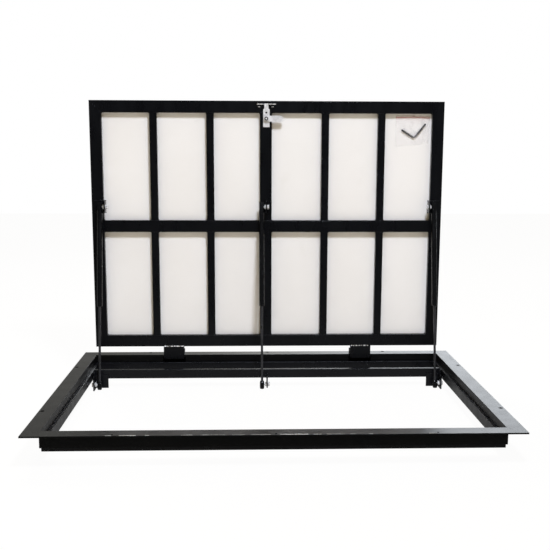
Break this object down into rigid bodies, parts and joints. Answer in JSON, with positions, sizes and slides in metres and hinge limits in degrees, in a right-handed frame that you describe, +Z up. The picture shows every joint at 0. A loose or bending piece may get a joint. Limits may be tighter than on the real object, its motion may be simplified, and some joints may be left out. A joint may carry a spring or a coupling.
{
  "type": "recessed paving cover",
  "caption": "Recessed paving cover standing open: hinged lid of box section under a board, in an angle frame, held by gas struts.",
  "frame": {"origin": "centre of the frame in plan, level with the top of its flange and so with the paving", "axes": "+X runs along the longer side and the hinges, +Y from the front to the hinges, +Z up"},
  "size_m": [1.296, 0.94, 0.9647],
  "materials": {
    "frame_paint": "dark grey powder coat, satin, a little rough",
    "inner_paint": "black paint, satin",
    "lid_paint": "black powder coat, satin",
    "board": "off-white board, matte",
    "zinc": "bright zinc plate",
    "rod_steel": "dark nitrided rod, smooth",
    "cylinder_paint": "black paint, gloss",
    "key_steel": "black oxide",
    "film": "clear film, wrinkled"
  },
  "bodies": {
    "frame": {"crossbar": "inner_paint", "frame_angle_back": "frame_paint", "frame_angle_front": "frame_paint", "frame_angle_left": "frame_paint", "frame_angle_right": "frame_paint", "hinge_fixed_knuckles": "inner_paint", "hinge_pins": "zinc", "hinge_pocket_left": "inner_paint", "hinge_pocket_right": "inner_paint", "ledge_back": "inner_paint", "ledge_front": "inner_paint", "ledge_left": "inner_paint", "ledge_right": "inner_paint", "lower_ball_studs": "zinc", "strut_foot_centre": "inner_paint", "strut_foot_left": "inner_paint", "strut_foot_right": "inner_paint"},
    "lid": {"hex_key": "key_steel", "hinge_arm_left": "lid_paint", "hinge_arm_right": "lid_paint", "key_bag": "film", "latch_backing": "lid_paint", "latch_strip": "zinc", "lid_bar_lower_1": "lid_paint", "lid_bar_lower_2": "lid_paint", "lid_bar_lower_3": "lid_paint", "lid_bar_lower_4": "lid_paint", "lid_bar_upper_1": "lid_paint", "lid_bar_upper_2": "lid_paint", "lid_bar_upper_3": "lid_paint", "lid_bar_upper_4": "lid_paint", "lid_board": "board", "lid_centre_stile_lower": "lid_paint", "lid_centre_stile_upper": "lid_paint", "lid_rail_bottom": "lid_paint", "lid_rail_middle": "lid_paint", "lid_rail_top": "lid_paint", "lid_stile_left": "lid_paint", "lid_stile_right": "lid_paint", "strut_bracket_centre": "lid_paint", "strut_bracket_left": "lid_paint", "strut_bracket_right": "lid_paint", "upper_ball_studs": "zinc"},
    "latch": {"latch_cam": "zinc", "latch_nut": "zinc", "latch_spindle": "zinc"},
    "strut_left_lower": {"strut_left_rod": "rod_steel", "strut_left_lower_socket": "cylinder_paint"},
    "strut_left_upper": {"strut_left_cylinder": "cylinder_paint", "strut_left_upper_socket": "cylinder_paint"},
    "strut_centre_lower": {"strut_centre_rod": "rod_steel", "strut_centre_lower_socket": "cylinder_paint"},
    "strut_centre_upper": {"strut_centre_cylinder": "cylinder_paint", "strut_centre_upper_socket": "cylinder_paint"},
    "strut_right_lower": {"strut_right_rod": "rod_steel", "strut_right_lower_socket": "cylinder_paint"},
    "strut_right_upper": {"strut_right_cylinder": "cylinder_paint", "strut_right_upper_socket": "cylinder_paint"}
  },
  "joints": [
    {"name": "lid_hinge", "type": "hinge", "parent": "frame", "child": "lid", "pos_m": [0, 0.446, 0.009], "axis": [1, 0, 0], "range_deg": [0, 90]},
    {"name": "latch_turn", "type": "hinge", "parent": "lid", "child": "latch", "pos_m": [-0.0055, 0.4072, 0.818], "axis": [0, -1, 0], "range_deg": [0, 90]},
    {"name": "strut_left_tilt", "type": "hinge", "parent": "frame", "child": "strut_left_lower", "pos_m": [-0.57, 0.284, -0.0703], "axis": [1, 0, 0], "range_deg": [0, 96.01]},
    {"name": "strut_left_slide", "type": "slide", "parent": "strut_left_lower", "child": "strut_left_upper", "axis": [0, -0.1842, -0.9829], "range_m": [0, 0.2505]},
    {"name": "strut_centre_tilt", "type": "hinge", "parent": "frame", "child": "strut_centre_lower", "pos_m": [-0.0215, 0.284, -0.0703], "axis": [1, 0, 0], "range_deg": [0, 96.01]},
    {"name": "strut_centre_slide", "type": "slide", "parent": "strut_centre_lower", "child": "strut_centre_upper", "axis": [0, -0.1842, -0.9829], "range_m": [0, 0.2505]},
    {"name": "strut_right_tilt", "type": "hinge", "parent": "frame", "child": "strut_right_lower", "pos_m": [0.57, 0.284, -0.0703], "axis": [1, 0, 0], "range_deg": [0, 96.01]},
    {"name": "strut_right_slide", "type": "slide", "parent": "strut_right_lower", "child": "strut_right_upper", "axis": [0, -0.1842, -0.9829], "range_m": [0, 0.2505]}
  ],
  "couplings": [
    {"joint": "strut_left_tilt", "follows": "lid_hinge", "ratio": 1.0667},
    {"joint": "strut_left_slide", "follows": "lid_hinge", "m_per_rad": 0.15946},
    {"joint": "strut_centre_tilt", "follows": "lid_hinge", "ratio": 1.0667},
    {"joint": "strut_centre_slide", "follows": "lid_hinge", "m_per_rad": 0.15946},
    {"joint": "strut_right_tilt", "follows": "lid_hinge", "ratio": 1.0667},
    {"joint": "strut_right_slide", "follows": "lid_hinge", "m_per_rad": 0.15946}
  ]
}
